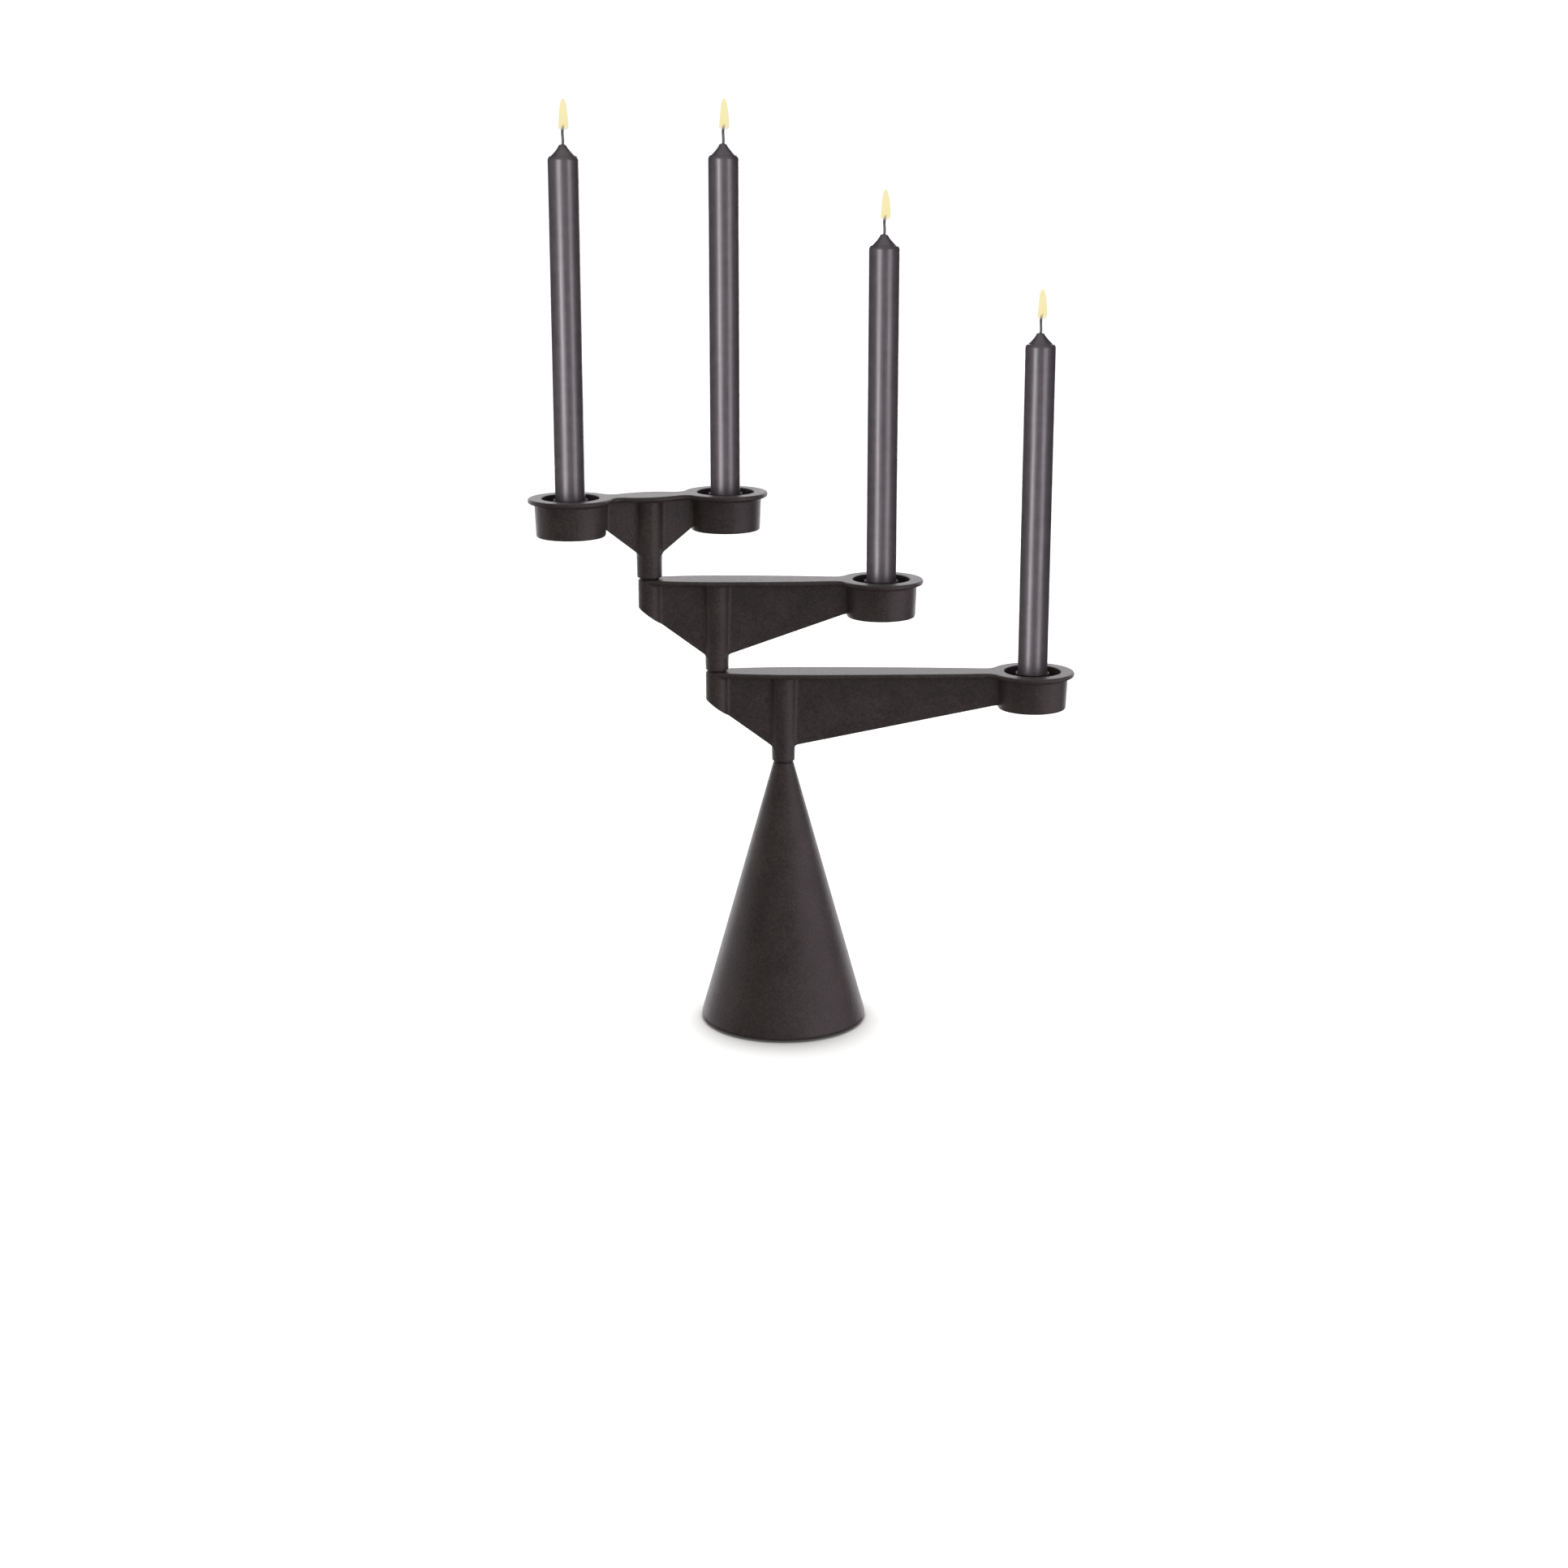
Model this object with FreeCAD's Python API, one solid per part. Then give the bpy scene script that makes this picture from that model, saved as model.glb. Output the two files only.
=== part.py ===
"""Tabletop candelabra: a cone base, three cast arms that swivel on stacked vertical pivots, and four candles.

Millimetres, +Z up. The origin is the centre of the resting face, and the cone and the lower pivot stand on
the Z axis. The lower and middle arms each reach out to the right (+X) with a cup and carry the next arm on
a boss at their left end. The upper arm has a cup on each side.
"""
import FreeCAD, Part
import math
import os
from FreeCAD import Vector

# Cone base. The edge radius is where the cone's side would meet its underside before the edge is rounded.
CONE_HEIGHT = 187.2
CONE_EDGE_R = 58.9
CONE_TOP_R = 7.0
CONE_EDGE_ROUND = 3.0
CONE_TOP_ROUND = 0.6
PAD_R = 50.0
PAD_THICK = 2.4
PAD_PROUD = 0.6

# Pivots: a steel pin in each stem turns in a bush, and the stem rests on a thin washer.
PIN_R = 3.0
PIN_IN_STEM = 18.0
PIN_IN_BUSH = 15.5
PIN_CHAMFER = 0.5
BUSH_R = 4.2
BUSH_BORE_R = 3.03
BUSH_LENGTH = 17.0
BUSH_HOLE_DEPTH = 17.6
WASHER_R = 6.6
WASHER_THICK = 1.3
WASHER_BORE_R = 3.2

# Arm castings
ARM_OFFSET = 45.8          # from an arm's own pivot to the boss that carries the next arm
LOWER_REACH = 172.2        # from an arm's own pivot to its cup
MIDDLE_REACH = 112.8
UPPER_REACH = 54.0
UPPER_TURN = 16.0          # degrees that the upper arm is swivelled from the line of the other two
LONG_STEM = 63.3           # from the stem's end to the arm's top plane
SHORT_STEM = 56.6
HUB_R = 9.2
LONG_STEM_R = 7.9
SHORT_STEM_R = 8.55
STEM_ROUND = 0.7
BOSS_R = 7.9
WEB_THICK = 5.5
WEB_ROOT = 9.0             # distance from the pivot at which the web's depth at the hub is given
LONG_WEB_DEPTH = 52.0
SHORT_WEB_DEPTH = 39.5
BOSS_DEPTH = 25.2
LONG_CUP_WEB_DEPTH = 23.5  # depth of the web's underside where it meets a cup
SHORT_CUP_WEB_DEPTH = 22.5
FLANGE_THICK = 3.2
FLANGE_HALF = 14.0         # half the flange's width at its widest
NECK_HALF = 10.0           # half its width where it narrows before a cup
NECK_FROM_CUP = 36.0
NECK_FLARE_R = 8.0
LOWER_WIDEST_X = 12.0      # how far past the pivot the lower arm's flange is widest
EDGE_ROUND = 1.2

# Fillets of the castings
HUB_FILLET = 3.5
LONG_CUP_FILLET = 5.0
SHORT_CUP_FILLET = 3.0
FLANGE_FILLET = 2.0
STEM_FILLET = 2.5

# Cups
RIM_R = 28.8
CUP_R = 24.5
CUP_BASE_R = 23.5
CUP_BORE_R = 19.6
CUP_HEIGHT = 26.0
CUP_FLOOR = 3.0
CUP_BASE_ROUND = 1.2
CUP_MOUTH_ROUND = 0.7

# Candle inserts
INSERT_FOOT_R = 19.2
INSERT_FOOT_THICK = 2.5
INSERT_BODY_R = 17.2
INSERT_SHOULDER_R = 16.2
INSERT_COLLAR_R = 11.6
INSERT_BORE_R = 10.5
INSERT_COLLAR_DEPTH = 1.2
INSERT_COLLAR_HEIGHT = 1.0
INSERT_FLARE_R = 4.6
SEAT_DEPTH = 18.8

# Candles and wicks
CANDLE_R = 10.2
CANDLE_LENGTH = 250.0
CANDLE_TIP = 10.2
CANDLE_NOSE_R = 2.4
CANDLE_EDGE_ROUND = 0.6
CANDLE_TIP_HOLLOW = 0.7
WICK_R = 0.8
WICK_LENGTH = 13.0

LOWER_TOP = CONE_HEIGHT + WASHER_THICK + LONG_STEM
MIDDLE_TOP = LOWER_TOP + WASHER_THICK + LONG_STEM
UPPER_TOP = MIDDLE_TOP + WASHER_THICK + SHORT_STEM
MIDDLE_X = -ARM_OFFSET
UPPER_X = -2 * ARM_OFFSET

UP = Vector(0, 0, 1)
WEB_HALF = WEB_THICK / 2
FAR = 400.0                # larger than any casting, for cutting and trimming solids


def point(radius, height):
    return Vector(radius, 0, height)


def revolve(edges):
    """Turn a closed profile in the XZ plane about Z, with its seam facing the front."""
    solid = Part.Face(Part.Wire(edges)).revolve(Vector(0, 0, 0), UP, 360)
    solid.rotate(Vector(0, 0, 0), UP, -90)
    return solid


def lines(points, close=True):
    ends = points[1:] + points[:1] if close else points[1:]
    return [Part.LineSegment(a, b).toShape() for a, b in zip(points, ends)]


def turned(points):
    return revolve(lines([point(r, z) for r, z in points]))


def arc(centre, start, end):
    """The shorter arc about a centre between two points."""
    radius = (start - centre).Length
    middle = centre + ((start - centre) + (end - centre)).normalize() * radius
    return Part.Arc(start, middle, end).toShape()


def ring(outer, inner, low, high):
    solid = Part.makeCylinder(outer, high - low, Vector(0, 0, low), UP)
    return solid.cut(Part.makeCylinder(inner, high - low, Vector(0, 0, low), UP))


def round_edges(shape, radius, chosen):
    return shape.makeFillet(radius, [edge for edge in shape.Edges if chosen(edge)])


def chamfer_edges(shape, size, chosen):
    return shape.makeChamfer(size, [edge for edge in shape.Edges if chosen(edge)])


def lies_at(height):
    """A test for edges that lie in one horizontal plane."""
    return lambda edge: abs(edge.BoundBox.ZMin - height) < 0.01 and abs(edge.BoundBox.ZMax - height) < 0.01


def one_solid(shape):
    """The single solid of a boolean result, with split faces joined again."""
    clean = shape.removeSplitter()
    if len(clean.Solids) != 1:
        raise RuntimeError("expected one solid, found %d" % len(clean.Solids))
    return clean.Solids[0]


def joined(shapes):
    """Solids fused one after another."""
    whole = shapes[0]
    for shape in shapes[1:]:
        whole = whole.fuse(shape)
    return one_solid(whole)


def moved(shape, x=0.0, y=0.0, z=0.0):
    copy = shape.copy()
    copy.translate(Vector(x, y, z))
    return copy


# ---- flange outline ----

def circles_meet(centre_a, radius_a, centre_b, radius_b):
    """Where two circles cross, on the side with the larger Y."""
    line = centre_b - centre_a
    gap = line.Length
    along = (radius_a ** 2 - radius_b ** 2 + gap ** 2) / (2 * gap)
    across = math.sqrt(radius_a ** 2 - along ** 2)
    unit = line / gap
    left = Vector(-unit.y, unit.x, 0)
    first = centre_a + unit * along + left * across
    second = centre_a + unit * along - left * across
    return first if first.y > second.y else second


def cup_side(reach, widest_x):
    """Upper half of the outline from its widest point to the far point of a cup's rim."""
    widest = Vector(widest_x, FLANGE_HALF, 0)
    run = reach - NECK_FROM_CUP - widest_x
    drop = FLANGE_HALF - NECK_HALF
    side_r = (run ** 2 + drop ** 2) / (2 * drop)
    side_centre = Vector(widest_x, FLANGE_HALF - side_r, 0)
    rim_centre = Vector(reach, 0, 0)
    flare_centre = circles_meet(side_centre, side_r + NECK_FLARE_R, rim_centre, RIM_R + NECK_FLARE_R)
    neck = flare_centre + (side_centre - flare_centre).normalize() * NECK_FLARE_R
    rim_start = flare_centre + (rim_centre - flare_centre).normalize() * NECK_FLARE_R
    rim_end = Vector(reach + RIM_R, 0, 0)
    rim_top = Vector(reach, RIM_R, 0)
    return [arc(side_centre, widest, neck), arc(flare_centre, neck, rim_start),
            Part.Arc(rim_start, rim_top, rim_end).toShape()]


def boss_side(widest_x):
    """Upper half of the outline from its widest point to the far point of the boss."""
    widest = Vector(widest_x, FLANGE_HALF, 0)
    run = widest_x + ARM_OFFSET
    side_r = (run ** 2 + FLANGE_HALF ** 2 - BOSS_R ** 2) / (2 * (FLANGE_HALF - BOSS_R))
    side_centre = Vector(widest_x, FLANGE_HALF - side_r, 0)
    boss_centre = Vector(-ARM_OFFSET, 0, 0)
    tangent = boss_centre + (boss_centre - side_centre).normalize() * BOSS_R
    end = Vector(-ARM_OFFSET - BOSS_R, 0, 0)
    return [arc(side_centre, widest, tangent), arc(boss_centre, tangent, end)]


def mirrored(edges, normal):
    return [edge.mirror(Vector(0, 0, 0), normal) for edge in edges]


def flange_outline(left_cup, reach, widest_x):
    across = Vector(1, 0, 0)
    right = cup_side(reach, widest_x)
    left = mirrored(cup_side(reach, widest_x), across) if left_cup else boss_side(widest_x)
    half = right + left
    return Part.Wire(Part.__sortEdges__(half + mirrored(half, Vector(0, 1, 0))))


# ---- arm casting ----

def web_side(direction, root_depth, meet_x, meet_depth, end_x):
    """One side of the web, whose underside slopes from the hub to the boss or cup that it meets."""
    slope = (root_depth - meet_depth) / (meet_x - WEB_ROOT)
    top = -FLANGE_THICK / 2
    corners = [point(0, top), point(0, -root_depth - slope * WEB_ROOT),
               point(direction * end_x, -meet_depth + slope * (end_x - meet_x)), point(direction * end_x, top)]
    plate = Part.Face(Part.Wire(lines(corners))).extrude(Vector(0, WEB_THICK, 0))
    return moved(plate, y=-WEB_HALF)


def sloped_boss(root_depth):
    """The end boss, cut off along the line of the web's underside."""
    slope = (root_depth - BOSS_DEPTH) / (ARM_OFFSET - WEB_ROOT)
    boss = Part.makeCylinder(BOSS_R, root_depth, Vector(-ARM_OFFSET, 0, -root_depth - FLANGE_THICK / 2), UP)
    corners = [point(-ARM_OFFSET - FAR, slope * FAR - BOSS_DEPTH), point(0, -BOSS_DEPTH - slope * ARM_OFFSET),
               point(0, -FAR), point(-ARM_OFFSET - FAR, -FAR)]
    below = Part.Face(Part.Wire(lines(corners))).extrude(Vector(0, 2 * FAR, 0))
    return boss.cut(moved(below, y=-FAR))


def hub(stem, stem_r):
    """Hub and stem: one tapered round bar, rounded at its lower end."""
    top = -FLANGE_THICK / 2
    bar = turned([(0, -stem), (stem_r, -stem), (HUB_R, top), (0, top)])
    return round_edges(bar, STEM_ROUND, lies_at(-stem))


def cup_body(x):
    top = -FLANGE_THICK / 2
    body = turned([(0, -CUP_HEIGHT), (CUP_BASE_R, -CUP_HEIGHT), (CUP_R, top), (0, top)])
    return moved(round_edges(body, CUP_BASE_ROUND, lies_at(-CUP_HEIGHT)), x=x)


def cup_bore(x):
    """The space that a cup leaves open, with its rounded mouth."""
    floor = -CUP_HEIGHT + CUP_FLOOR
    mouth = CUP_BORE_R + CUP_MOUTH_ROUND
    start, end = point(CUP_BORE_R, -CUP_MOUTH_ROUND), point(mouth, 0)
    rounding = arc(point(mouth, -CUP_MOUTH_ROUND), start, end)
    rest = lines([end, point(mouth, 1), point(0, 1), point(0, floor), point(CUP_BORE_R, floor), start], False)
    return moved(revolve([rounding] + rest), x=x)


def inner_corner(centres, radius):
    """A test for the upright corners between the web's faces and round bodies of about this radius."""
    def chosen(edge):
        box = edge.BoundBox
        on_web = all(abs(abs(vertex.Y) - WEB_HALF) < 0.01 for vertex in edge.Vertexes)
        upright = box.ZLength > 2 * FLANGE_THICK and box.XLength < FLANGE_THICK
        return on_web and upright and any(abs(box.Center.x - x) < radius for x in centres)
    return chosen


def meets_stem(root_depth):
    """A test for the corners where the web's underside meets the stem."""
    def chosen(edge):
        centre = edge.BoundBox.Center
        near_hub = abs(centre.x) < HUB_R and abs(centre.z + root_depth) < STEM_FILLET
        return near_hub and edge.BoundBox.YLength > 0.9 * WEB_HALF and edge.BoundBox.ZLength < STEM_FILLET
    return chosen


def casting(left_cup, reach, widest_x, stem, stem_r, root_depth, cup_depth, cup_fillet):
    """One arm, with its pivot on the Z axis and its top plane at z = 0."""
    outline = flange_outline(left_cup, reach, widest_x)
    flange = Part.Face(outline).extrude(Vector(0, 0, -FLANGE_THICK))
    flange = round_edges(flange, EDGE_ROUND, lambda edge: edge.BoundBox.ZLength < 0.01)

    # The body below the flange is filleted against a wide plate, which is then trimmed inside the flange.
    cups = [reach, -reach] if left_cup else [reach]
    meet_x = reach - CUP_BASE_R
    sides = [web_side(1, root_depth, meet_x, cup_depth, reach)]
    rounds = [hub(stem, stem_r)] + [cup_body(x) for x in cups]
    if left_cup:
        sides.append(web_side(-1, root_depth, meet_x, cup_depth, reach))
        hubs = [0]
    else:
        sides.append(web_side(-1, root_depth, ARM_OFFSET, BOSS_DEPTH, ARM_OFFSET))
        rounds.append(sloped_boss(root_depth))
        hubs = [0, -ARM_OFFSET]
    plate = Part.makeBox(2 * FAR, 2 * FAR, FLANGE_THICK / 2, Vector(-FAR, -FAR, -FLANGE_THICK))
    body = joined([plate] + sides + rounds)
    body = round_edges(body, HUB_FILLET, inner_corner(hubs, HUB_R))
    body = round_edges(body, cup_fillet, inner_corner(cups, CUP_R))
    body = round_edges(body, STEM_FILLET, meets_stem(root_depth))
    under = lies_at(-FLANGE_THICK)
    body = round_edges(body, FLANGE_FILLET, lambda edge: under(edge) and edge.BoundBox.DiagonalLength < FAR)
    inside = Part.Face(outline.makeOffset2D(-EDGE_ROUND)).extrude(Vector(0, 0, -FAR))
    body = body.common(inside)
    pieces = [body] if left_cup else [body, sloped_boss(root_depth)]
    arm = joined([flange] + pieces)

    holes = [cup_bore(x) for x in cups]
    holes.append(Part.makeCylinder(PIN_R, PIN_IN_STEM, Vector(0, 0, -stem), UP))
    if not left_cup:
        holes.append(Part.makeCylinder(BUSH_R, BUSH_HOLE_DEPTH, Vector(-ARM_OFFSET, 0, -BUSH_HOLE_DEPTH), UP))
    return one_solid(arm.cut(holes))


# ---- turned parts ----

def cone_base():
    cone = turned([(0, PAD_PROUD), (CONE_EDGE_R, PAD_PROUD), (CONE_TOP_R, CONE_HEIGHT), (0, CONE_HEIGHT)])
    cone = round_edges(cone, CONE_EDGE_ROUND, lies_at(PAD_PROUD))
    cone = round_edges(cone, CONE_TOP_ROUND, lies_at(CONE_HEIGHT))
    recess = Part.makeCylinder(PAD_R, PAD_THICK)
    hole = Part.makeCylinder(BUSH_R, BUSH_HOLE_DEPTH, Vector(0, 0, CONE_HEIGHT - BUSH_HOLE_DEPTH), UP)
    return one_solid(cone.cut([recess, hole]))


def base_pad():
    return Part.makeCylinder(PAD_R, PAD_THICK)


def bush():
    """A pivot bush, with its upper end at z = 0."""
    return ring(BUSH_R, BUSH_BORE_R, -BUSH_LENGTH, 0)


def thrust_washer():
    """A thrust washer, with its lower face at z = 0."""
    return ring(WASHER_R, WASHER_BORE_R, 0, WASHER_THICK)


def pivot_pin():
    """A pivot pin, with the stem's lower end at z = 0 and the lower part's top face a washer below."""
    low = -WASHER_THICK - PIN_IN_BUSH
    pin = Part.makeCylinder(PIN_R, PIN_IN_STEM - low, Vector(0, 0, low), UP)
    return chamfer_edges(pin, PIN_CHAMFER, lies_at(low))


def cup_insert():
    """A candle insert, with the cup's rim at z = 0: a wide foot, a body and a flared collar."""
    foot = -CUP_HEIGHT + CUP_FLOOR
    collar_top = -INSERT_COLLAR_DEPTH
    flare_top = collar_top - INSERT_COLLAR_HEIGHT
    flare_centre = point(INSERT_COLLAR_R + INSERT_FLARE_R, flare_top)
    flare_end = point(INSERT_SHOULDER_R, flare_top - INSERT_FLARE_R)
    flare_start = point(INSERT_COLLAR_R, flare_top)
    flare = arc(flare_centre, flare_start, flare_end)
    rest = [flare_end, point(INSERT_BODY_R, foot + INSERT_FOOT_THICK),
            point(INSERT_FOOT_R, foot + INSERT_FOOT_THICK), point(INSERT_FOOT_R, foot), point(0, foot),
            point(0, -SEAT_DEPTH), point(INSERT_BORE_R, -SEAT_DEPTH), point(INSERT_BORE_R, collar_top),
            point(INSERT_COLLAR_R, collar_top), flare_start]
    insert = revolve([flare] + lines(rest, False))
    return insert


def candle():
    """A candle, with the cup's rim at z = 0: a straight side, a hollowed point and a bore for the wick."""
    foot = -SEAT_DEPTH
    tip = foot + CANDLE_LENGTH
    shoulder = tip - CANDLE_TIP
    edge = point(CANDLE_R, shoulder)
    nose = point(CANDLE_NOSE_R, tip - CANDLE_NOSE_R / 2)
    slope = (nose - edge).normalize()
    middle = (edge + nose) / 2 + Vector(slope.z, 0, -slope.x) * -CANDLE_TIP_HOLLOW
    top = point(0, tip)
    nose_middle = point(CANDLE_NOSE_R * math.sin(math.radians(50)), tip - CANDLE_NOSE_R / 6)
    profile = [Part.Arc(edge, middle, nose).toShape(), Part.Arc(nose, nose_middle, top).toShape()]
    profile += lines([top, point(0, foot), point(CANDLE_R, foot), edge], False)
    body = revolve(profile)
    body = round_edges(body, CANDLE_EDGE_ROUND, lies_at(foot))
    return one_solid(body.cut(Part.makeCylinder(WICK_R, CANDLE_LENGTH, Vector(0, 0, foot), UP)))


def wick():
    return Part.makeCylinder(WICK_R, CANDLE_LENGTH - CANDLE_NOSE_R / 4 + WICK_LENGTH, Vector(0, 0, -SEAT_DEPTH), UP)


# ---- assembly ----

def model():
    parts = {}
    parts["cone_base"] = cone_base()
    parts["base_pad"] = base_pad()
    parts["base_bush"] = moved(bush(), z=CONE_HEIGHT)
    long_arm = (LONG_STEM, LONG_STEM_R, LONG_WEB_DEPTH, LONG_CUP_WEB_DEPTH, LONG_CUP_FILLET)
    short_arm = (SHORT_STEM, SHORT_STEM_R, SHORT_WEB_DEPTH, SHORT_CUP_WEB_DEPTH, SHORT_CUP_FILLET)
    lower = casting(False, LOWER_REACH, LOWER_WIDEST_X, *long_arm)
    middle = casting(False, MIDDLE_REACH, 0.0, *long_arm)
    upper = casting(True, UPPER_REACH, 0.0, *short_arm)
    upper.rotate(Vector(0, 0, 0), UP, UPPER_TURN)
    parts["lower_arm"] = moved(lower, z=LOWER_TOP)
    parts["middle_arm"] = moved(middle, MIDDLE_X, 0, MIDDLE_TOP)
    parts["upper_arm"] = moved(upper, UPPER_X, 0, UPPER_TOP)
    parts["lower_end_bush"] = moved(bush(), MIDDLE_X, 0, LOWER_TOP)
    parts["middle_end_bush"] = moved(bush(), UPPER_X, 0, MIDDLE_TOP)

    seats = {"lower": (0.0, CONE_HEIGHT), "middle": (MIDDLE_X, LOWER_TOP), "upper": (UPPER_X, MIDDLE_TOP)}
    for name, (x, z) in seats.items():
        parts[name + "_thrust_washer"] = moved(thrust_washer(), x, 0, z)
        parts[name + "_pivot_pin"] = moved(pivot_pin(), x, 0, z + WASHER_THICK)

    turn = math.radians(UPPER_TURN)
    upper_dx, upper_dy = UPPER_REACH * math.cos(turn), UPPER_REACH * math.sin(turn)
    cups = {"lower": (LOWER_REACH, 0.0, LOWER_TOP), "middle": (MIDDLE_X + MIDDLE_REACH, 0.0, MIDDLE_TOP),
            "upper_right": (UPPER_X + upper_dx, upper_dy, UPPER_TOP),
            "upper_left": (UPPER_X - upper_dx, -upper_dy, UPPER_TOP)}
    for name, place in cups.items():
        parts[name + "_cup_insert"] = moved(cup_insert(), *place)
        parts[name + "_candle"] = moved(candle(), *place)
        parts[name + "_wick"] = moved(wick(), *place)
    return parts


def export(parts):
    os.makedirs("parts", exist_ok=True)
    for name, shape in parts.items():
        if not shape.isValid():
            raise RuntimeError(name + " is not a valid solid")
        shape.exportStep("parts/%s.step" % name)
        box = shape.BoundBox
        print("%-24s %8.1f x %6.1f x %6.1f mm  %10.1f mm3" % (name, box.XLength, box.YLength, box.ZLength,
                                                             shape.Volume))


export(model())
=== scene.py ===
"""Looks of a four-light swivelling candelabra: painted castings, tapers, braided wicks and flames."""

import math

import bmesh
import bpy
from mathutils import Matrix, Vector, noise


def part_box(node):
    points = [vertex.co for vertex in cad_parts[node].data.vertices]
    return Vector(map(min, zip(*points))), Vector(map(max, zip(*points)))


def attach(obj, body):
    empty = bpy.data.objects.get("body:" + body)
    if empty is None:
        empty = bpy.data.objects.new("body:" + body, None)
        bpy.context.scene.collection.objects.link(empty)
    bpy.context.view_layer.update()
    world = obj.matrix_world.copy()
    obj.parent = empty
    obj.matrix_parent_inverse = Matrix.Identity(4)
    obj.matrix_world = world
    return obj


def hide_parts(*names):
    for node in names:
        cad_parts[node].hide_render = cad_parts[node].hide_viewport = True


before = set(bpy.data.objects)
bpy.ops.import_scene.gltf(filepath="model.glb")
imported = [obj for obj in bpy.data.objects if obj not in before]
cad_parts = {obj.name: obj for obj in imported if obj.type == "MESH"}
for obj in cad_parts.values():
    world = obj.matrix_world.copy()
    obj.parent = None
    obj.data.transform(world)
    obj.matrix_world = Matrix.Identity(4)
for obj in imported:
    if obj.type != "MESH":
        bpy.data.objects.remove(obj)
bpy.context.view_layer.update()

MM = 0.001
CANDLES = ("lower", "middle", "upper_right", "upper_left")

# The darkest and lightest grains of the two paints.
CASTING_COLOURS = ((0.024, 0.0195, 0.0180), (0.058, 0.0470, 0.0430))
INSERT_COLOURS = ((0.010, 0.0083, 0.0076), (0.018, 0.0148, 0.0136))

# Camera: in front of the base's axis, at the height of the highest flames and looking down.
CAMERA_DISTANCE = 1.750
CAMERA_HEIGHT = 0.6365
CAMERA_RIGHT = 0.0004
CAMERA_PITCH = math.radians(14.9)
CAMERA_LENS = 59.44
SENSOR_WIDTH = 36.0

# Watts per square metre that make a rectangular light's face look as bright as 1.
AREA_LIGHT_WATTS = 4.0

# Taper: each share is of the tip's height, measured up from where the straight side ends.
TAPER_TIP = 10.2 * MM
TAPER_SEGMENTS = 96
TAPER_RING_STEP = 4 * MM
TAPER_FOOT_EDGE = 0.5 * MM
SHOULDER_SHARE = 0.26
SHOULDER_TURN = math.radians(66)
SHOULDER_DEPTH = 1.5 * MM
SHOULDER_RINGS = 8
CREASE_DEPTH = 0.22 * MM
CREASE_LIP = 0.25 * MM
NECK_STEP = 0.5 * MM
NECK_RINGS = 14
NOSE_RADIUS = 2.9 * MM
NOSE_SHARE = 0.86
NECK_HOLLOW = 1.2
NOSE_LEAN = 0.35 * MM
NOSE_RINGS = 7
HAND_DIPPED_WAVE = 0.05 * MM

# Wick: three plaited strands that lean a little and come apart at the top.
STRANDS = 3
STRAND_RADIUS = 0.42 * MM
PLAIT_WIDTH = 0.52 * MM
PLAIT_DEPTH = 0.22 * MM
PLAIT_PITCH = 3.4 * MM
WICK_ROOT = 2.0 * MM
WICK_LEAN = 0.55 * MM
WICK_BOW = 0.3 * MM
WICK_STEPS = 90
FRAY_START = 0.85
FRAY_SPREAD = 1.7
FRAY_FIBRES = 7
THINNING_START = 0.8
THINNING = 0.35
FIBRE_START = 0.90
FIBRE_LENGTH = 0.095
FIBRE_STEPS = 6
FIBRE_RADIUS = 0.06 * MM

# Flame: it wraps the last few millimetres of the wick.
FLAME_RADIUS = 3.5 * MM
FLAME_BELOW_WICK_TOP = 3.4 * MM
FLAME_ABOVE_WICK_TOP = 16.6 * MM
FLAME_SEGMENTS = 40
FLAME_RINGS = 44
FLAME_SWAY = 0.35 * MM
FLAME_NARROWING = 0.42
FLAME_FOOT_SHARE = 0.1


# ---------------------------------------------------------------- node helpers


def new_node(tree, kind, values=None, **settings):
    """A shader node with its settings and its sockets set or linked."""
    node = tree.nodes.new("ShaderNode" + kind)
    for name, value in settings.items():
        setattr(node, name, value)
    for socket, value in (values or {}).items():
        if isinstance(value, bpy.types.NodeSocket):
            tree.links.new(value, node.inputs[socket])
        else:
            node.inputs[socket].default_value = value
    return node


def new_material(name):
    """(material, its node tree, its Principled shader, the piece's own coordinates)."""
    material = bpy.data.materials.new(name)
    material.use_nodes = True
    tree = material.node_tree
    coordinates = new_node(tree, "TexCoord")
    return material, tree, tree.nodes["Principled BSDF"], coordinates.outputs["Object"]


def stretched(tree, place, scale):
    """Coordinates multiplied along each axis."""
    return new_node(tree, "Mapping", {"Vector": place, "Scale": scale}).outputs[0]


def speckle(tree, place, per_metre, detail=3.0, roughness=0.55):
    """Noise from 0 to 1 with that many lumps in a metre."""
    values = {"Vector": place, "Scale": per_metre, "Detail": detail, "Roughness": roughness}
    return new_node(tree, "TexNoise", values).outputs[0]


def ramp(tree, factor, stops):
    """Colours blended along a factor: stops is a list of (position, colour)."""
    node = new_node(tree, "ValToRGB", {"Fac": factor})
    elements = node.color_ramp.elements
    while len(elements) < len(stops):
        elements.new(0.5)
    for element, (position, colour) in zip(elements, stops):
        element.position = position
        element.color = (*colour, 1.0)
    return node.outputs[0]


def between(tree, value, low, high, start=0.0, end=1.0):
    """value's span from start to end spread over low to high."""
    values = {"Value": value, "From Min": start, "From Max": end, "To Min": low, "To Max": high}
    return new_node(tree, "MapRange", values).outputs[0]


def weighted(tree, parts):
    """The sum of (value, weight) parts, for mixing noises."""
    total = 0.0
    for value, weight in parts:
        values = {0: value, 1: weight, 2: total}
        total = new_node(tree, "Math", values, operation="MULTIPLY_ADD").outputs[0]
    return total


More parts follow.
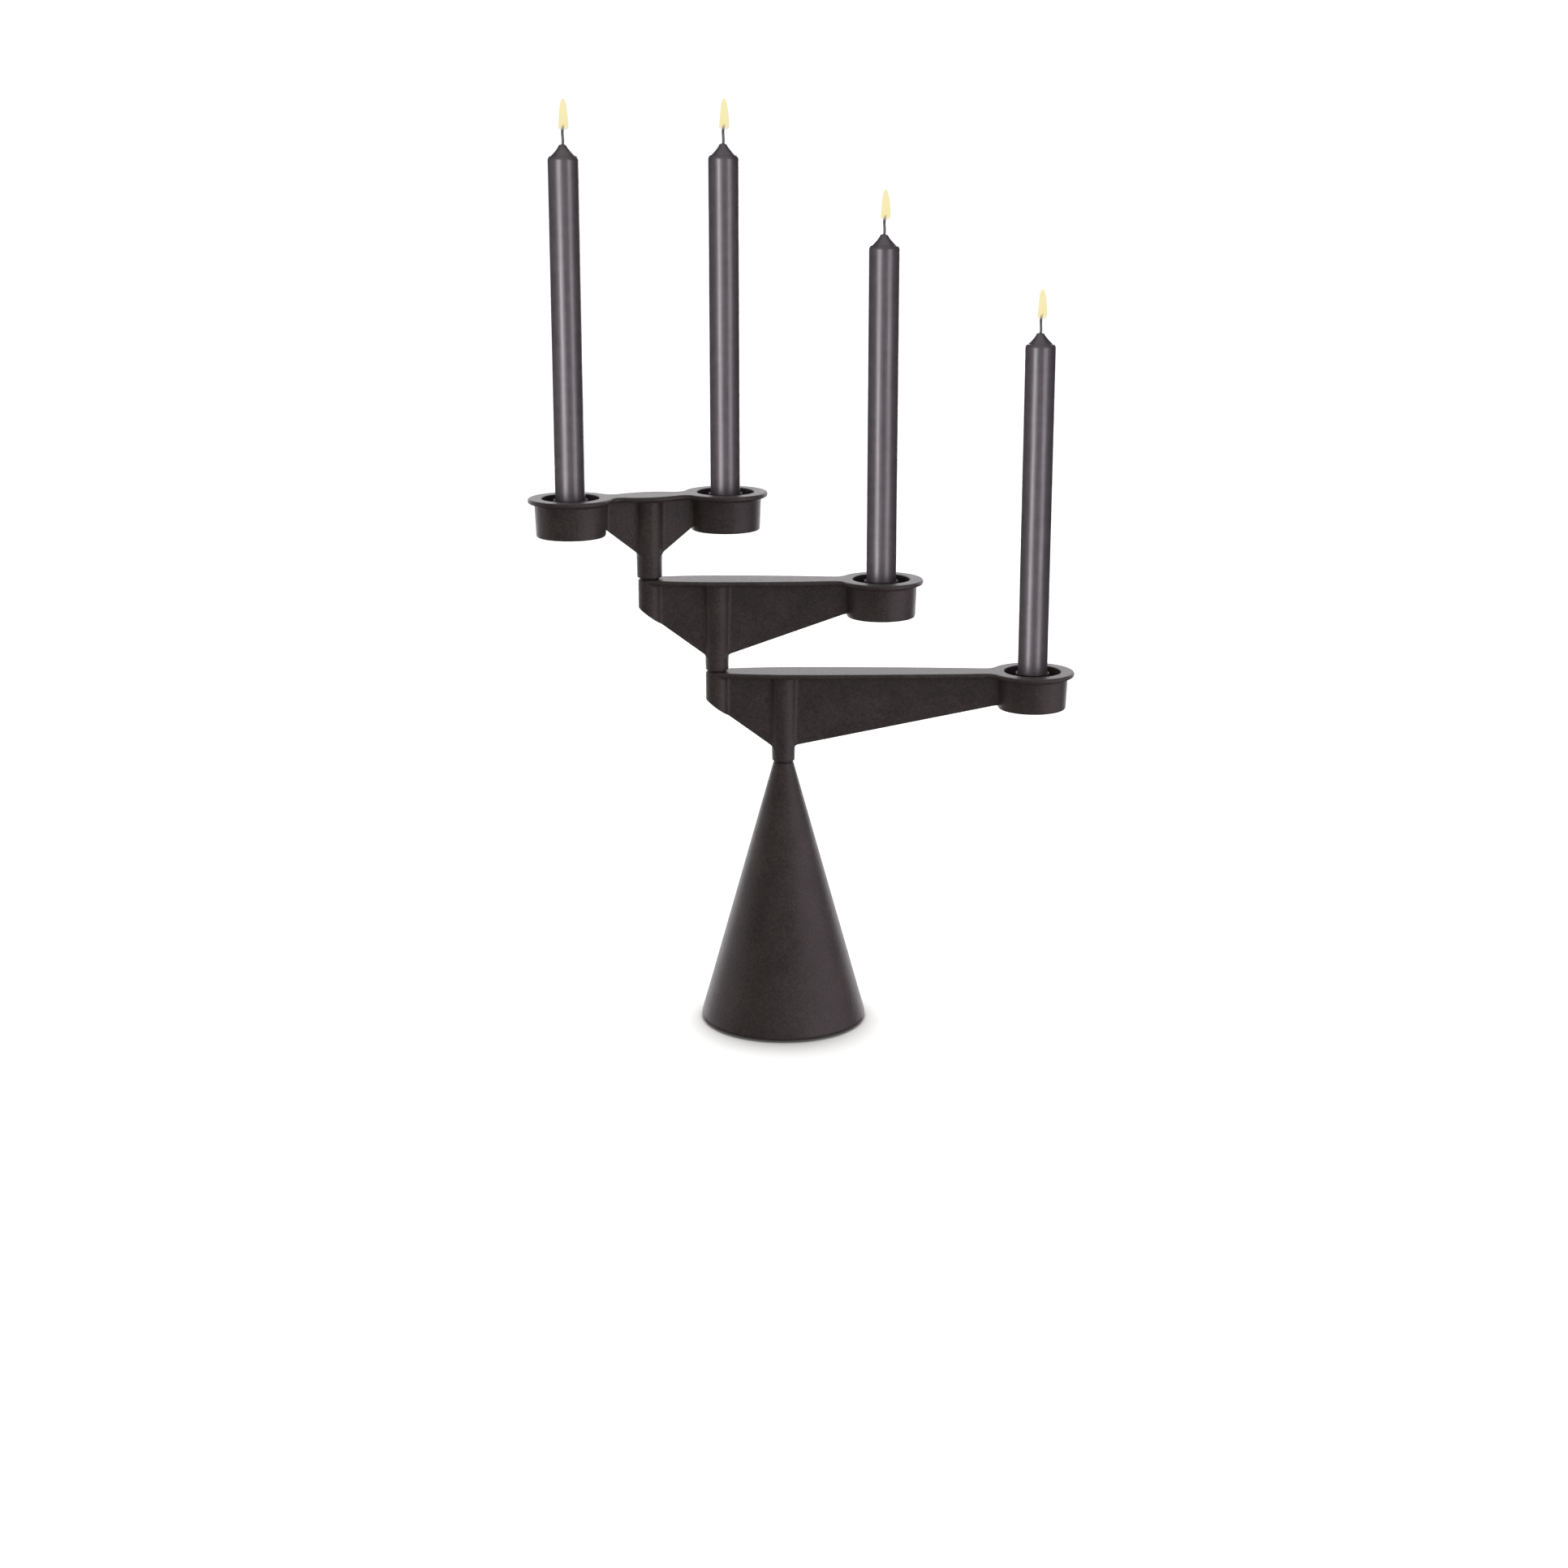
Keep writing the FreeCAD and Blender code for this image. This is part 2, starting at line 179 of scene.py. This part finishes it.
def bumps(tree, layers):
    """A normal with one bump for each (height, depth in metres, strength)."""
    normal = None
    for height, depth, strength in layers:
        values = {"Height": height, "Distance": depth, "Strength": strength}
        if normal is not None:
            values["Normal"] = normal
        normal = new_node(tree, "Bump", values).outputs[0]
    return normal


def finish_surface(tree, shader, colour, roughness, normal):
    """Links the three textured inputs of a surface."""
    tree.links.new(colour, shader.inputs["Base Color"])
    tree.links.new(roughness, shader.inputs["Roughness"])
    tree.links.new(normal, shader.inputs["Normal"])


# ---------------------------------------------------------------- materials


def casting_paint(name, dark, light, smooth, rough):
    """Satin powder coat: fine pebbled grain over a slightly uneven casting."""
    material, tree, shader, place = new_material(name)
    grain = speckle(tree, place, 1300, detail=2.0)
    pebble = speckle(tree, place, 520, detail=2.0)
    casting = speckle(tree, place, 45, detail=2.0)
    tone = weighted(tree, [(grain, 0.45), (pebble, 0.3), (casting, 0.25)])
    colour = ramp(tree, tone, [(0.38, dark), (0.62, light)])
    roughness = between(tree, pebble, smooth, rough, 0.3, 0.7)
    relief = [(casting, 0.4 * MM, 0.3), (pebble, 0.3 * MM, 0.6), (grain, 0.15 * MM, 0.6)]
    finish_surface(tree, shader, colour, roughness, bumps(tree, relief))
    shader.inputs["Specular IOR Level"].default_value = 0.42
    return material


def taper_wax(name):
    """Dark dyed wax, streaked along its length by the mould, with a faint bloom."""
    material, tree, shader, place = new_material(name)
    streaks = speckle(tree, stretched(tree, place, (1.0, 1.0, 0.02)), 900, detail=3.0)
    mottle = speckle(tree, place, 160, detail=4.0)
    bloom = speckle(tree, place, 1400, detail=2.0)
    dyes = [(0.3, (0.026, 0.022, 0.025)), (0.7, (0.036, 0.031, 0.035))]
    colour = ramp(tree, mottle, dyes)
    roughness = between(tree, streaks, 0.33, 0.42, 0.3, 0.7)
    relief = [(streaks, 0.03 * MM, 0.25), (mottle, 0.08 * MM, 0.2), (bloom, 0.02 * MM, 0.2)]
    finish_surface(tree, shader, colour, roughness, bumps(tree, relief))
    shader.inputs["Subsurface Weight"].default_value = 0.06
    shader.inputs["Subsurface Radius"].default_value = (1.0, 0.6, 0.5)
    shader.inputs["Subsurface Scale"].default_value = 1.0 * MM
    return material


def wick_cotton(name):
    """Waxed grey cotton yarn, darkened where the flame holds it."""
    material, tree, shader, place = new_material(name)
    height = new_node(tree, "TexCoord").outputs["Generated"]
    along = new_node(tree, "SeparateXYZ", {"Vector": height}).outputs["Z"]
    fibres = speckle(tree, stretched(tree, place, (1.0, 1.0, 0.3)), 9000, detail=3.0)
    burnt = between(tree, fibres, -0.06, 0.06)
    level = new_node(tree, "Math", {0: along, 1: burnt}, operation="ADD").outputs[0]
    stops = [
        (0.0, (0.20, 0.19, 0.21)),
        (0.45, (0.30, 0.29, 0.33)),
        (0.8, (0.14, 0.13, 0.15)),
        (1.0, (0.04, 0.036, 0.036)),
    ]
    roughness = between(tree, fibres, 0.6, 0.9)
    relief = bumps(tree, [(fibres, 0.08 * MM, 0.7)])
    finish_surface(tree, shader, ramp(tree, level, stops), roughness, relief)
    return material


def flame_glow(name):
    """Pale yellow light, thinner and greyer at its foot, where the wick shows through."""
    material, tree, shader, _ = new_material(name)
    own_box = new_node(tree, "TexCoord").outputs["Generated"]
    along = new_node(tree, "SeparateXYZ", {"Vector": own_box}).outputs["Z"]
    flicker = speckle(tree, stretched(tree, own_box, (1.0, 1.0, 3.0)), 2.5, detail=2.0)
    shifted = new_node(
        tree, "Math", {0: along, 1: between(tree, flicker, -0.05, 0.05)}, operation="ADD"
    ).outputs[0]
    stops = [
        (0.0, (0.55, 0.50, 0.46)),
        (0.12, (0.92, 0.80, 0.42)),
        (0.4, (0.93, 0.84, 0.47)),
        (1.0, (0.94, 0.85, 0.50)),
    ]
    tree.links.new(ramp(tree, shifted, stops), shader.inputs["Emission Color"])
    shader.inputs["Emission Strength"].default_value = 1.0
    shader.inputs["Base Color"].default_value = (0.0, 0.0, 0.0, 1.0)
    shader.inputs["Specular IOR Level"].default_value = 0.0
    tree.links.new(between(tree, shifted, 0.25, 1.0, 0.02, 0.22), shader.inputs["Alpha"])
    return material


def pad_felt(name):
    """Pressed black felt."""
    material, tree, shader, place = new_material(name)
    fibres = speckle(tree, place, 2600, detail=4.0, roughness=0.7)
    clumps = speckle(tree, place, 300, detail=2.0)
    colour = ramp(tree, clumps, [(0.3, (0.012, 0.012, 0.012)), (0.7, (0.026, 0.025, 0.026))])
    relief = bumps(tree, [(clumps, 0.2 * MM, 0.3), (fibres, 0.2 * MM, 0.8)])
    finish_surface(tree, shader, colour, between(tree, fibres, 0.85, 1.0), relief)
    shader.inputs["Sheen Weight"].default_value = 0.3
    return material


def sintered_bronze(name):
    """Porous bearing bronze."""
    material, tree, shader, place = new_material(name)
    pores = speckle(tree, place, 3200, detail=3.0, roughness=0.7)
    tarnish = speckle(tree, place, 240, detail=3.0)
    colour = ramp(tree, tarnish, [(0.3, (0.36, 0.22, 0.10)), (0.7, (0.56, 0.37, 0.17))])
    relief = bumps(tree, [(pores, 0.06 * MM, 0.5)])
    finish_surface(tree, shader, colour, between(tree, pores, 0.34, 0.55), relief)
    shader.inputs["Metallic"].default_value = 1.0
    return material


def turned_steel(name):
    """Ground pin steel with faint rings left by the turning."""
    material, tree, shader, place = new_material(name)
    rings = speckle(tree, stretched(tree, place, (0.02, 0.02, 1.0)), 5200, detail=2.0)
    haze = speckle(tree, place, 300, detail=3.0)
    colour = ramp(tree, haze, [(0.3, (0.46, 0.46, 0.47)), (0.7, (0.60, 0.60, 0.61))])
    relief = bumps(tree, [(rings, 0.02 * MM, 0.4)])
    finish_surface(tree, shader, colour, between(tree, rings, 0.2, 0.38), relief)
    shader.inputs["Metallic"].default_value = 1.0
    return material


def washer_nylon(name):
    """Black bearing nylon, dulled by grease."""
    material, tree, shader, place = new_material(name)
    cloud = speckle(tree, place, 420, detail=3.0)
    colour = ramp(tree, cloud, [(0.3, (0.006, 0.006, 0.006)), (0.7, (0.014, 0.013, 0.013))])
    relief = bumps(tree, [(cloud, 0.05 * MM, 0.3)])
    finish_surface(tree, shader, colour, between(tree, cloud, 0.45, 0.7), relief)
    return material


# ---------------------------------------------------------------- mesh helpers


def finish_mesh(name, mesh, material):
    """A smooth-shaded object made from a bmesh."""
    bmesh.ops.recalc_face_normals(mesh, faces=mesh.faces)
    for face in mesh.faces:
        face.smooth = True
    data = bpy.data.meshes.new(name)
    mesh.to_mesh(data)
    mesh.free()
    data.materials.append(material)
    piece = bpy.data.objects.new(name, data)
    bpy.context.scene.collection.objects.link(piece)
    return piece


def ring_of(mesh, points):
    return [mesh.verts.new(point) for point in points]


def join_rings(mesh, lower, upper):
    """Quads between two rings with the same number of points."""
    count = len(lower)
    for i in range(count):
        j = (i + 1) % count
        mesh.faces.new((lower[i], lower[j], upper[j], upper[i]))


def close_ring(mesh, ring, point):
    """A fan of triangles from a ring to one point."""
    tip = mesh.verts.new(point)
    count = len(ring)
    for i in range(count):
        mesh.faces.new((ring[i], ring[(i + 1) % count], tip))


def lathe(name, outline, place, segments, material):
    """A closed turned form. outline is (radius, height) from the bottom pole to the top pole, and
    place(radius, height, angle) gives each point, so a form may lean or ripple."""
    mesh = bmesh.new()
    turns = [2 * math.pi * i / segments for i in range(segments)]
    rings = [ring_of(mesh, [place(r, z, turn) for turn in turns]) for r, z in outline[1:-1]]
    for lower, upper in zip(rings, rings[1:]):
        join_rings(mesh, lower, upper)
    close_ring(mesh, rings[0], place(*outline[0], 0.0))
    close_ring(mesh, rings[-1], place(*outline[-1], 0.0))
    return finish_mesh(name, mesh, material)


def add_tube(mesh, path, radii, sides=10):
    """A closed tube along path in a bmesh, with a radius for each point."""
    rings = []
    for i, centre in enumerate(path):
        ahead = path[min(i + 1, len(path) - 1)]
        behind = path[max(i - 1, 0)]
        along = (ahead - behind).normalized()
        across = along.cross(Vector((0.0, 1.0, 0.0))).normalized()
        other = along.cross(across)
        turns = [2 * math.pi * k / sides for k in range(sides)]
        points = [centre + (across * math.cos(a) + other * math.sin(a)) * radii[i] for a in turns]
        rings.append(ring_of(mesh, points))
    for lower, upper in zip(rings, rings[1:]):
        join_rings(mesh, lower, upper)
    close_ring(mesh, rings[0], path[0])
    close_ring(mesh, rings[-1], path[-1])


# ---------------------------------------------------------------- candle pieces


def quarter(share):
    """Rises from 0 to 1 like a quarter of a circle."""
    return math.sqrt(max(0.0, 1.0 - (1.0 - min(share, 1.0)) ** 2))


def taper_outline(radius, bottom, top):
    """Straight side, rounded shoulder, moulded crease, hollow neck and a small round nose."""
    side_top = top - TAPER_TIP
    corner = 0.3 * TAPER_FOOT_EDGE
    outline = [(0.0, bottom), (radius - TAPER_FOOT_EDGE, bottom), (radius - corner, bottom + corner)]
    rings = round((side_top - bottom) / TAPER_RING_STEP)
    for i in range(1, rings + 1):
        outline.append((radius, bottom + (side_top - bottom) * i / rings))
    shoulder_height = SHOULDER_SHARE * TAPER_TIP / math.sin(SHOULDER_TURN)
    for i in range(1, SHOULDER_RINGS + 1):
        angle = SHOULDER_TURN * i / SHOULDER_RINGS
        drop = SHOULDER_DEPTH * (1 - math.cos(angle)) / (1 - math.cos(SHOULDER_TURN))
        outline.append((radius - drop, side_top + shoulder_height * math.sin(angle)))
    neck_radius, neck_height = outline[-1]
    neck_radius -= NECK_STEP
    outline.append((neck_radius + CREASE_LIP, neck_height - CREASE_DEPTH))
    nose_height = side_top + NOSE_SHARE * TAPER_TIP
    for i in range(NECK_RINGS + 1):
        share = i / NECK_RINGS
        swell = (neck_radius - NOSE_RADIUS) * (1 - share) ** NECK_HOLLOW
        outline.append((NOSE_RADIUS + swell, neck_height + (nose_height - neck_height) * share))
    for i in range(1, NOSE_RINGS):
        angle = math.radians(90 * i / NOSE_RINGS)
        height = nose_height + (top - nose_height) * math.sin(angle)
        outline.append((NOSE_RADIUS * math.cos(angle), height))
    outline.append((0.0, top))
    return outline


def make_taper(which, material):
    low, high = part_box(f"{which}_candle")
    centre = (low + high) / 2
    radius = (high.x - low.x) / 2
    side_top = high.z - TAPER_TIP

    def place(r, z, angle):
        tip_share = max(0.0, (z - side_top) / TAPER_TIP)
        lean = NOSE_LEAN * tip_share**2
        around = Vector((math.cos(angle), math.sin(angle), z * 45))
        spot = around + Vector((centre.x * 40, centre.y * 40, 0))
        ripple = HAND_DIPPED_WAVE * (noise.noise(spot) - 0.5) * min(1.0, r / radius)
        reach = min(r + ripple, radius) if r > 0 else 0.0
        x = centre.x - lean + reach * math.cos(angle)
        y = centre.y + reach * math.sin(angle)
        return Vector((x, y, z))

    outline = taper_outline(radius, low.z, high.z)
    taper = lathe(f"{which}_taper", outline, place, TAPER_SEGMENTS, material)
    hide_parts(f"{which}_candle")
    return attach(taper, f"{which}_candle")


def wick_line(which, share):
    """Centre of the wick at that share of its shown length."""
    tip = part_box(f"{which}_candle")[1].z
    low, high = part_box(f"{which}_wick")
    base = tip - WICK_ROOT
    lean = (WICK_LEAN + NOSE_LEAN) * share * share - NOSE_LEAN
    x = (low.x + high.x) / 2 + lean + WICK_BOW * math.sin(math.pi * 2 * share)
    y = (low.y + high.y) / 2 + WICK_BOW * math.sin(math.pi * share)
    return Vector((x, y, base + (high.z - base) * share))


def make_wick(which, material):
    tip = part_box(f"{which}_candle")[1].z
    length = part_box(f"{which}_wick")[1].z - tip + WICK_ROOT
    mesh = bmesh.new()
    for strand in range(STRANDS):
        phase = 2 * math.pi * strand / STRANDS
        path = []
        radii = []
        for i in range(WICK_STEPS + 1):
            share = i / WICK_STEPS
            turn = 2 * math.pi * length * share / PLAIT_PITCH + phase
            frayed = max(0.0, (share - FRAY_START) / (1 - FRAY_START))
            thinned = max(0.0, (share - THINNING_START) / (1 - THINNING_START))
            loose = 1 + (FRAY_SPREAD - 1) * frayed**2
            plait = Vector((PLAIT_WIDTH * math.cos(turn), PLAIT_DEPTH * math.sin(2 * turn), 0.0))
            path.append(wick_line(which, share) + plait * loose)
            radii.append(STRAND_RADIUS * (1 - THINNING * thinned))
        add_tube(mesh, path, radii)
    for fibre in range(FRAY_FIBRES):
        angle = 2 * math.pi * fibre / FRAY_FIBRES + 0.4
        out = Vector((math.cos(angle), math.sin(angle), 0.0))
        reach = (0.55 + 0.25 * math.sin(fibre * 2.3)) * MM
        path = []
        for k in range(FIBRE_STEPS + 1):
            share = k / FIBRE_STEPS
            root = wick_line(which, FIBRE_START + FIBRE_LENGTH * share)
            path.append(root + out * (0.2 * MM + reach * share**1.5))
        add_tube(mesh, path, [FIBRE_RADIUS * (1 - 0.08 * k) for k in range(FIBRE_STEPS + 1)], sides=6)
    wick = finish_mesh(f"{which}_plaited_wick", mesh, material)
    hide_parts(f"{which}_wick")
    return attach(wick, f"{which}_candle")


def make_flame(which, material):
    wick_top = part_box(f"{which}_wick")[1].z
    bottom = wick_top - FLAME_BELOW_WICK_TOP
    height = FLAME_BELOW_WICK_TOP + FLAME_ABOVE_WICK_TOP
    foot = wick_line(which, 1.0)
    outline = [(0.0, bottom)]
    for i in range(1, FLAME_RINGS):
        share = (i / FLAME_RINGS) ** 1.2
        narrowed = (1 - FLAME_NARROWING * share) * (1 - share**7) ** 0.6
        foot_round = quarter(share / FLAME_FOOT_SHARE)
        outline.append((FLAME_RADIUS * foot_round * narrowed, bottom + height * share))
    outline.append((0.0, bottom + height))

    def place(r, z, angle):
        share = (z - bottom) / height
        sway = FLAME_SWAY * math.sin(3.6 * share) * share
        lick = 1 + 0.05 * math.sin(3 * angle + 7 * share) * share
        x = foot.x + sway + r * lick * math.cos(angle)
        y = foot.y + r * lick * math.sin(angle)
        return Vector((x, y, z))

    flame = lathe(f"{which}_flame", outline, place, FLAME_SEGMENTS, material)
    flame.visible_shadow = False
    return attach(flame, f"{which}_candle")


# ---------------------------------------------------------------- CAD nodes


def paint_frame():
    """One textured material for each material slot of the record, on every CAD node that uses it."""
    finishes = {
        "cast_paint": casting_paint("cast_paint_satin", *CASTING_COLOURS, 0.40, 0.48),
        "insert_paint": casting_paint("insert_paint_satin", *INSERT_COLOURS, 0.62, 0.74),
        "pad_felt": pad_felt("pressed_felt"),
        "bush_bronze": sintered_bronze("sintered_bronze"),
        "pin_steel": turned_steel("turned_steel"),
        "washer_black": washer_nylon("washer_nylon"),
        "candle_wax": taper_wax("dyed_wax"),
        "wick_cotton": wick_cotton("waxed_cotton"),
    }
    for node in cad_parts.values():
        for slot in node.material_slots:
            slot.material = finishes[slot.material.name.split(".")[0]]
    return finishes


# ---------------------------------------------------------------- stage


def add_camera():
    data = bpy.data.cameras.new("camera")
    data.lens = CAMERA_LENS
    data.sensor_width = SENSOR_WIDTH
    data.clip_end = 100
    camera = bpy.data.objects.new("camera", data)
    camera.location = (CAMERA_RIGHT, -CAMERA_DISTANCE, CAMERA_HEIGHT)
    camera.rotation_euler = (math.pi / 2 - CAMERA_PITCH, 0.0, 0.0)
    bpy.context.scene.collection.objects.link(camera)
    bpy.context.scene.camera = camera


def only_for_camera(piece):
    """The camera sees it, and it neither lights the object nor shows in its gloss."""
    piece.visible_diffuse = False
    piece.visible_glossy = False
    piece.visible_transmission = False
    piece.visible_shadow = False


def add_floor():
    """A pale floor with a painted contact shadow: its colour and glow darken softly where the base
    stands on it.
    """
    mesh = bmesh.new()
    bmesh.ops.create_grid(mesh, x_segments=1, y_segments=1, size=14.0)
    material, tree, shader, place = new_material("floor_paper")
    # Painted contact shadow: ambient occlusion near the base darkens the floor's colour and its glow.
    contact = new_node(tree, "AmbientOcclusion", {"Distance": 36 * MM}, samples=16).outputs["AO"]
    paper = speckle(tree, place, 700, detail=2.0)
    painted_contact_shadow = ramp(tree, contact, [(0.45, (0.40, 0.395, 0.39)), (0.99, (0.93, 0.93, 0.93))])
    relief = bumps(tree, [(paper, 0.02 * MM, 0.2)])
    finish_surface(tree, shader, painted_contact_shadow, between(tree, paper, 0.85, 0.95), relief)
    tree.links.new(painted_contact_shadow, shader.inputs["Emission Color"])
    shader.inputs["Emission Strength"].default_value = 0.12
    shader.inputs["Specular IOR Level"].default_value = 0.0
    floor = finish_mesh("floor", mesh, material)
    only_for_camera(floor)
    return floor


def add_backdrop():
    """A white dome far behind everything, seen only by the camera."""
    mesh = bmesh.new()
    bmesh.ops.create_uvsphere(mesh, u_segments=48, v_segments=24, radius=16.0)
    material = bpy.data.materials.new("backdrop_white")
    material.use_nodes = True
    tree = material.node_tree
    tree.nodes.clear()
    glow = new_node(tree, "Emission", {"Color": (1.0, 1.0, 1.0, 1.0), "Strength": 1.05})
    new_node(tree, "OutputMaterial", {"Surface": glow.outputs[0]})
    backdrop = finish_mesh("backdrop", mesh, material)
    only_for_camera(backdrop)


def softbox(name, radiance, colour, size, azimuth, elevation, distance, height, only=None):
    """A rectangular soft light facing the middle of the object. Azimuth 0 is the camera's side and 90
    is to its right. radiance is how bright its face looks; only lights the pieces in that collection."""
    turn = math.radians(azimuth)
    rise = math.radians(elevation)
    away = Vector((math.sin(turn) * math.cos(rise), -math.cos(turn) * math.cos(rise), math.sin(rise)))
    data = bpy.data.lights.new(name, "AREA")
    data.shape = "RECTANGLE"
    data.size, data.size_y = size
    data.energy = radiance * size[0] * size[1] * AREA_LIGHT_WATTS
    data.color = colour
    light = bpy.data.objects.new(name, data)
    light.location = away * distance + Vector((0.0, 0.0, height))
    light.rotation_euler = away.to_track_quat("Z", "Y").to_euler()
    light.visible_camera = False
    if only is not None:
        light.light_linking.receiver_collection = only
    bpy.context.scene.collection.objects.link(light)
    return light


def light_group(name, pieces):
    """A collection of the pieces that a light is meant for."""
    group = bpy.data.collections.new(name)
    for piece in pieces:
        group.objects.link(piece)
    return group


def add_lights(tapers, floor):
    castings = light_group("casting_lights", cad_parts.values())
    candles = light_group("taper_lights", tapers)
    softbox("overhead", 0.8, (1.0, 0.99, 0.98), (2.4, 2.4), 0, 82, 2.0, 0.3)
    fill = softbox("front_fill", 1.1, (1.0, 0.98, 0.96), (2.6, 2.0), 0, 0, 2.2, 0.25)
    fill.visible_glossy = False
    softbox("back_panel", 1.55, (0.985, 0.965, 1.0), (5.2, 3.4), 180, 0, 2.4, 0.75, castings)
    softbox("right_box", 0.80, (0.97, 0.84, 1.0), (2.4, 2.2), 66, 0, 1.7, 0.2, castings)
    softbox("left_box", 0.5, (1.0, 0.90, 1.0), (2.2, 2.2), -108, 0, 1.8, 0.2, castings)
    softbox("left_strip", 11.5, (1.0, 0.97, 1.0), (0.42, 1.8), -36, 0, 1.2, 0.15, candles)
    softbox("right_strip", 5.4, (0.98, 0.95, 1.0), (0.46, 1.8), 44, 0, 1.2, 0.15, candles)
    softbox("back_strip", 6.0, (1.0, 0.97, 1.0), (0.42, 1.8), 167, 0, 1.2, 0.15, candles)
    sun = bpy.data.lights.new("floor_sun", "SUN")
    sun.energy = 3.4
    sun.angle = math.radians(60)
    sun_light = bpy.data.objects.new("floor_sun", sun)
    sun_light.rotation_euler = (math.radians(-22), 0.0, 0.0)
    sun_light.light_linking.receiver_collection = light_group("floor_lights", [floor])
    bpy.context.scene.collection.objects.link(sun_light)


def add_world():
    """A dim room: the softboxes do the lighting."""
    world = bpy.data.worlds.new("dim_room")
    world.use_nodes = True
    background = world.node_tree.nodes["Background"]
    background.inputs["Color"].default_value = (1.0, 0.95, 0.93, 1.0)
    background.inputs["Strength"].default_value = 0.12
    bpy.context.scene.world = world


# ---------------------------------------------------------------- scene

add_camera()
add_world()
surfaces = paint_frame()
glow = flame_glow("flame_glow")
all_tapers = []
for candle in CANDLES:
    all_tapers.append(make_taper(candle, surfaces["candle_wax"]))
    make_wick(candle, surfaces["wick_cotton"])
    make_flame(candle, glow)
add_lights(all_tapers, add_floor())
add_backdrop()
bpy.context.scene.view_settings.view_transform = "Standard"
